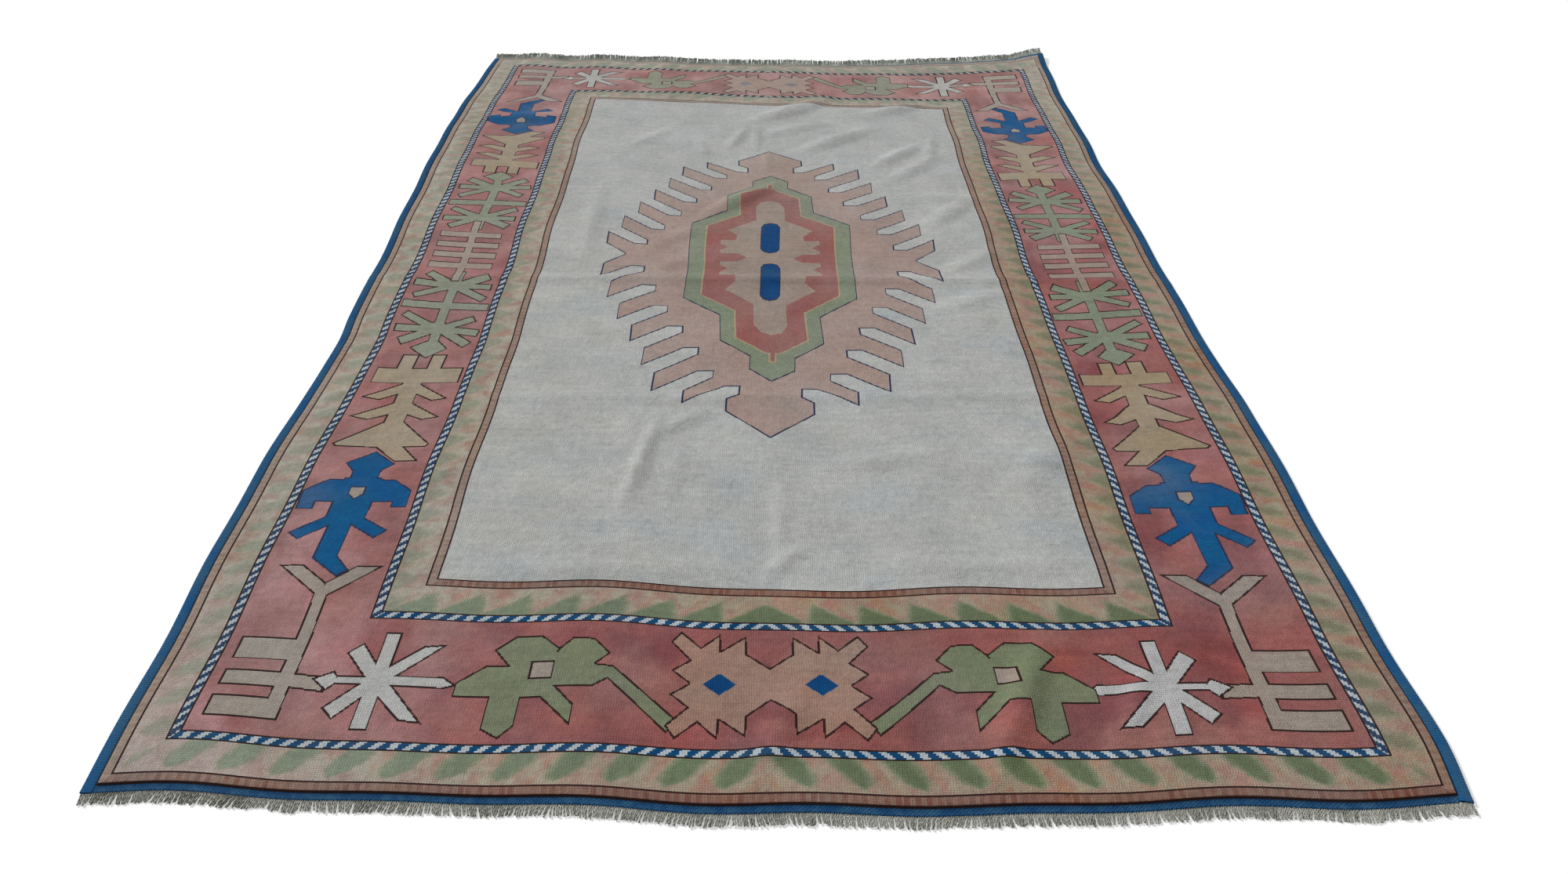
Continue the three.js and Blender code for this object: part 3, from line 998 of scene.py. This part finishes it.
def yarn(name, color, other, grain):
    # spun wool, lighter and darker along its length
    material = newMaterial(name)
    tree = Workings(material.node_tree)
    spot = tree.node("ShaderNodeTexCoord").outputs["Object"]
    blend = tree.node("ShaderNodeMix", data_type="RGBA")
    tree.feed(blend.inputs[0], tree.ramp(tree.noise(spot, 14, 4, 0.6), 0.36, 0.64))
    tree.feed(blend.inputs[6], wools[color])
    tree.feed(blend.inputs[7], wools[other])
    fibre = tree.noise(spot, grain, 3, 0.6)
    tinted = tree.out("ShaderNodeHueSaturation", 0, {
        "Value": 0.62 + fibre * 0.76, "Color": Value(tree, blend.outputs[2])})
    bump = tree.node("ShaderNodeBump", {"Strength": 0.5, "Distance": 0.0006, "Height": fibre})
    shader = tree.node("ShaderNodeBsdfPrincipled", {
        "Base Color": tinted, "Roughness": 0.92, "Specular IOR Level": 0.1, "Sheen Weight": 0.05,
        "Normal": bump.outputs[0]})
    tree.node("ShaderNodeOutputMaterial", {"Surface": shader.outputs[0]})
    return material


floorGap = 0.0003                # metres that yarn stays above the floor


def grow(name, path, sizes, shape, material):
    # runs a geometry tree along a path and keeps what it makes as a plain mesh
    group = bpy.data.node_groups.new(name + "-tree", "GeometryNodeTree")
    group.interface.new_socket(name="Path", in_out="INPUT", socket_type="NodeSocketGeometry")
    sockets = {label: group.interface.new_socket(
        name=label, in_out="INPUT", socket_type="NodeSocketInt" if label == "Seed" else "NodeSocketFloat")
        for label in sizes}
    group.interface.new_socket(name="Result", in_out="OUTPUT", socket_type="NodeSocketGeometry")
    tree = Workings(group)
    entry = tree.node("NodeGroupInput")
    curve = tree.node("GeometryNodeMeshToCurve", {"Mesh": entry.outputs["Path"]}).outputs[0]
    made = shape(tree, curve, {label: Value(tree, entry.outputs[label]) for label in sizes})
    height = tree.parts(tree.node("GeometryNodeInputPosition").outputs[0])[2]
    made = tree.node("GeometryNodeSetPosition", {
        "Geometry": made, "Offset": tree.vector(0, 0, highest(floorGap - height, 0))}).outputs[0]
    made = tree.node("GeometryNodeSetMaterial", {"Geometry": made, "Material": material}).outputs[0]
    tree.node("NodeGroupOutput", {"Result": made})
    line = bpy.data.meshes.new(name + "-path")
    line.from_pydata(path, [(i, i + 1) for i in range(len(path) - 1)], [])
    source = addObject(name + "-path", line)
    modifier = source.modifiers.new("grow", "NODES")
    modifier.node_group = group
    for label, value in sizes.items():
        modifier[sockets[label].identifier] = value
    mesh = bpy.data.meshes.new_from_object(source.evaluated_get(bpy.context.evaluated_depsgraph_get()))
    source.modifiers.remove(modifier)
    bpy.data.objects.remove(source)
    mesh.name = name
    mesh.calc_loop_triangles()
    print(name, "made,", len(mesh.loop_triangles), "triangles")
    return addObject(name, mesh)


selvedge = {"Width": 0.0195, "Thickness": 0.0052, "Pitch": 0.0025, "Yarn": 0.0038, "Seed": 4}    # metres
wrapFlatness = 0.42              # how thick a wrap is, as a share of its width


def wrapShape(tree, curve, size):
    # flat wraps of yarn round a rounded core, one for each step of the path
    def oval(shrink):
        oblong = tree.node("GeometryNodeCurvePrimitiveQuadrilateral", {
            "Width": size["Width"] - shrink, "Height": size["Thickness"] - shrink})
        return tree.node("GeometryNodeFilletCurve", {
            "Curve": oblong.outputs[0], "Count": 3, "Radius": (size["Thickness"] - shrink) * 0.46,
            "Limit Radius": True}, mode="POLY").outputs[0]

    points = tree.node("GeometryNodeResampleCurve", {"Curve": curve, "Length": size["Pitch"]}, mode="LENGTH")
    section = tree.node("GeometryNodeCurvePrimitiveCircle", {"Resolution": 4, "Radius": size["Yarn"] / 2})
    flat = tree.node("GeometryNodeTransform", {
        "Geometry": section.outputs[0], "Scale": (wrapFlatness, 1, 1)})
    wrap = tree.node("GeometryNodeCurveToMesh", {
        "Curve": oval(size["Yarn"] * wrapFlatness), "Profile Curve": flat.outputs[0]})
    upright = tree.node("GeometryNodeTransform", {
        "Geometry": wrap.outputs[0], "Rotation": (math.pi / 2, 0, 0)})
    tangent = tree.out("GeometryNodeInputTangent", 0)
    turn = tree.node("FunctionNodeAlignRotationToVector", {"Vector": tangent}, axis="Y")
    uneven = tree.node("FunctionNodeRandomValue", {
        "Min": (-0.02, -0.015, -0.06), "Max": (0.02, 0.015, 0.06), "Seed": size["Seed"]},
        data_type="FLOAT_VECTOR").outputs[0]
    slack = tree.node("FunctionNodeRotateRotation", {"Rotation": turn.outputs[0], "Rotate By": uneven})
    placed = tree.node("GeometryNodeInstanceOnPoints", {
        "Points": points.outputs[0], "Instance": upright.outputs[0], "Rotation": slack.outputs[0]})
    wraps = tree.node("GeometryNodeRealizeInstances", {"Geometry": placed.outputs[0]})
    level = tree.node("GeometryNodeSetCurveNormal", {"Curve": curve}, mode="Z_UP")
    core = tree.node("GeometryNodeCurveToMesh", {
        "Curve": level.outputs[0], "Profile Curve": oval(size["Yarn"] * 0.3), "Fill Caps": True})
    both = tree.node("GeometryNodeJoinGeometry", [wraps.outputs[0]])
    tree.tree.links.new(core.outputs[0], both.inputs[0])
    return both.outputs[0]


def makeSelvedge(name, across):
    rise = rug["selvedgeThickness"] / 2
    places = stations([2, rug["length"] - 2], rug["meshPitch"])
    path = [place(weftRow(along), across, rise) for along in places]
    # the paler second blue of the yarn is painted sheen
    return grow(name, path, selvedge, wrapShape, yarn(name + "-wool", "blueBright", "blueSheen", 900))


def fringeShape(tree, curve, size):
    # loose ends of the warp, each of two yarns twisted together, gathered in uneven tufts
    def lot(low, high, salt):
        made = tree.node("FunctionNodeRandomValue", {"Seed": size["Seed"] + salt}, data_type="FLOAT")
        made.inputs[2].default_value, made.inputs[3].default_value = low, high
        return Value(tree, made.outputs[1])

    line = tree.node("GeometryNodeCurvePrimitiveLine", {"End": (0, -1, 0)})
    points = tree.node("GeometryNodeResampleCurve", {"Curve": line.outputs[0], "Count": 8})
    reach = tree.out("GeometryNodeSplineParameter", 0)
    marked = tree.node("GeometryNodeStoreNamedAttribute", {
        "Geometry": points.outputs[0], "Name": "reach", "Value": reach})
    twist = reach * size["Twist"]
    section = tree.node("GeometryNodeCurvePrimitiveCircle", {"Resolution": 4, "Radius": size["Yarn"] / 2})
    strand = tree.node("GeometryNodeJoinGeometry")
    for side in (-0.42, 0.42):
        coil = tree.vector(
            tree.math("COSINE", twist) * size["Yarn"] * side, 0, twist.sine() * size["Yarn"] * side)
        wound = tree.node("GeometryNodeSetPosition", {"Geometry": marked.outputs[0], "Offset": coil})
        spun = tree.node("GeometryNodeCurveToMesh", {
            "Curve": wound.outputs[0], "Profile Curve": section.outputs[0], "Fill Caps": True})
        tree.tree.links.new(spun.outputs[0], strand.inputs[0])

    roots = tree.node("GeometryNodeResampleCurve", {"Curve": curve, "Length": size["Pitch"]}, mode="LENGTH")
    spot = Value(tree, tree.node("GeometryNodeInputPosition").outputs[0])
    alongHem = tree.parts(spot)[0]
    tuft = alongHem / size["Tuft"] + tree.noise(spot, 24, 2) * 3
    gather = 0.5 - tuft % 1
    drift = tree.noise(spot, 9, 3) - 0.5
    yaw = gather * size["Gather"] + drift * size["Lean"] + lot(-0.09, 0.09, 1) + size["Turn"]
    long = size["Length"] * (1 + (tree.noise(spot, 40, 3) - 0.5) * size["Ragged"] + lot(-0.14, 0.08, 2))
    placed = tree.node("GeometryNodeInstanceOnPoints", {
        "Points": roots.outputs[0], "Instance": strand.outputs[0],
        "Rotation": tree.vector(lot(-0.06, 0.06, 3), lot(0, 3, 4), yaw), "Scale": tree.vector(1, long, 1)})
    loose = tree.node("GeometryNodeRealizeInstances", {"Geometry": placed.outputs[0]})

    out = Value(tree, tree.node("GeometryNodeInputNamedAttribute", {"Name": "reach"}).outputs[0])
    waves = tree.parts(tree.node("ShaderNodeTexNoise", {"Vector": spot, "Scale": 70.0}).outputs[1])
    sway = (waves[0] - 0.5) * size["Curl"] * out
    buckle = (waves[1] - 0.5) * size["Curl"] * out
    rise = out * out * size["Lift"] - out * size["Drop"] + (waves[2] - 0.4) * size["Fluff"] * out
    bent = tree.node("GeometryNodeSetPosition", {
        "Geometry": loose.outputs[0], "Offset": tree.vector(sway, buckle, rise)})
    clean = tree.node("GeometryNodeRemoveAttribute", {"Geometry": bent.outputs[0], "Name": "reach"})
    return clean.outputs[0]


# Lengths in metres and turns in radians
nearFringe = {
    "Pitch": 0.0033, "Length": 0.018, "Ragged": 0.5, "Yarn": 0.0019, "Twist": 7.0, "Tuft": 0.06,
    "Gather": 0.2, "Lean": 2.4, "Turn": 0.0, "Curl": 0.004, "Lift": 0.0, "Drop": 0.0008, "Fluff": 0.001,
    "Seed": 7,
}
farFringe = {
    "Pitch": 0.0014, "Length": 0.027, "Ragged": 0.4, "Yarn": 0.0019, "Twist": 14.0, "Tuft": 0.07,
    "Gather": 0.2, "Lean": 1.6, "Turn": math.pi, "Curl": 0.014, "Lift": 0.009, "Drop": 0.0, "Fluff": 0.007,
    "Seed": 11,
}


fringeInset = 4                  # from each side of the rug


def makeFringe(name, along, sizes, rise, color, other):
    row = weftRow(along)
    places = stations([fringeInset, rug["width"] - fringeInset], rug["meshPitch"])
    path = [place(row, across, rise) for across in places]
    return grow(name, path, sizes, fringeShape, yarn(name + "-yarn", color, other, 1100))


selvedgeMiddle = rug["selvedgeWidth"] / 2
selvedges = [makeSelvedge("selvedge-left", selvedgeMiddle),
             makeSelvedge("selvedge-right", rug["width"] - selvedgeMiddle)]
fringes = [makeFringe("fringe-near", 0, nearFringe, 2, "fringeGrey", "fringeShade"),
           makeFringe("fringe-far", rug["length"], farFringe, 2.4, "fringeFar", "fringeMoss")]
for piece, node, finish in (
        (body, "rug_body", "pile_wool"),
        (selvedges[0], "selvedge_left", "blue_wool"),
        (selvedges[1], "selvedge_right", "blue_wool"),
        (fringes[0], "fringe_near", "warp_yarn"),
        (fringes[1], "fringe_far", "warp_yarn")):
    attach(piece, "root")
    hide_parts(node)

studio = {
    "floor": 9,                  # metres from the middle to each edge
    "floorPaint": 0.62,
    "floorGlow": 0.42,           # in what the camera sees, so that the floor looks pale
    "sky": 0.42,
    "sun": 3.3,
    "sunTurn": (57, 0, -128),
    "sunSize": 12,
}


def seenDirectly(tree):
    # 1 for what the camera sees, straight or in a gloss or glass
    rays = tree.node("ShaderNodeLightPath")
    seen = Value(tree, rays.outputs["Is Camera Ray"])
    for name in ("Is Glossy Ray", "Is Transmission Ray"):
        seen = highest(seen, Value(tree, rays.outputs[name]))
    return seen


def makeFloor():
    mesh = bpy.data.meshes.new("floor")
    far = studio["floor"]
    mesh.from_pydata([(-far, -far, 0), (far, -far, 0), (far, far, 0), (-far, far, 0)], [], [(0, 1, 2, 3)])
    material = newMaterial("pale-floor")
    tree = Workings(material.node_tree)
    paint = tree.node("ShaderNodeBsdfDiffuse", {"Color": (*[studio["floorPaint"]] * 3, 1)})
    glow = tree.node("ShaderNodeEmission", {
        "Color": (1, 1, 1, 1), "Strength": seenDirectly(tree) * studio["floorGlow"]})
    both = tree.node("ShaderNodeAddShader", [paint.outputs[0], glow.outputs[0]])
    tree.node("ShaderNodeOutputMaterial", {"Surface": both.outputs[0]})
    mesh.materials.append(material)
    addObject("floor", mesh)


makeFloor()
world = bpy.data.worlds.new("studio")
world.use_nodes = True
bpy.context.scene.world = world
sky = Workings(world.node_tree)
skyLight = sky.node("ShaderNodeBackground", {
    "Color": (1, 1, 1, 1), "Strength": seenDirectly(sky) * (1 - studio["sky"]) + studio["sky"]})
sky.node("ShaderNodeOutputWorld", {"Surface": skyLight.outputs[0]})
sunLight = bpy.data.lights.new("window light", "SUN")
sunLight.energy = studio["sun"]
sunLight.angle = math.radians(studio["sunSize"])
sun = addObject("window light", sunLight)
sun.rotation_euler = Euler([math.radians(turn) for turn in studio["sunTurn"]])

view = {
    "place": (0.0012, -2.3047, 1.335), "turn": (50.687, 0.945, 1.292), "lens": 23.74, "sensor": 36,
    "shift": 0.0285,
}
lens = bpy.data.cameras.new("camera")
lens.lens = view["lens"]
lens.sensor_width = view["sensor"]
lens.shift_x = view["shift"]
camera = addObject("camera", lens)
camera.location = Vector(view["place"]) + Vector((shiftX, shiftY, 0)) / 1000
camera.rotation_euler = Euler([math.radians(turn) for turn in view["turn"]])
bpy.context.scene.camera = camera
bpy.context.scene.view_settings.view_transform = "Standard"
print("room lit")
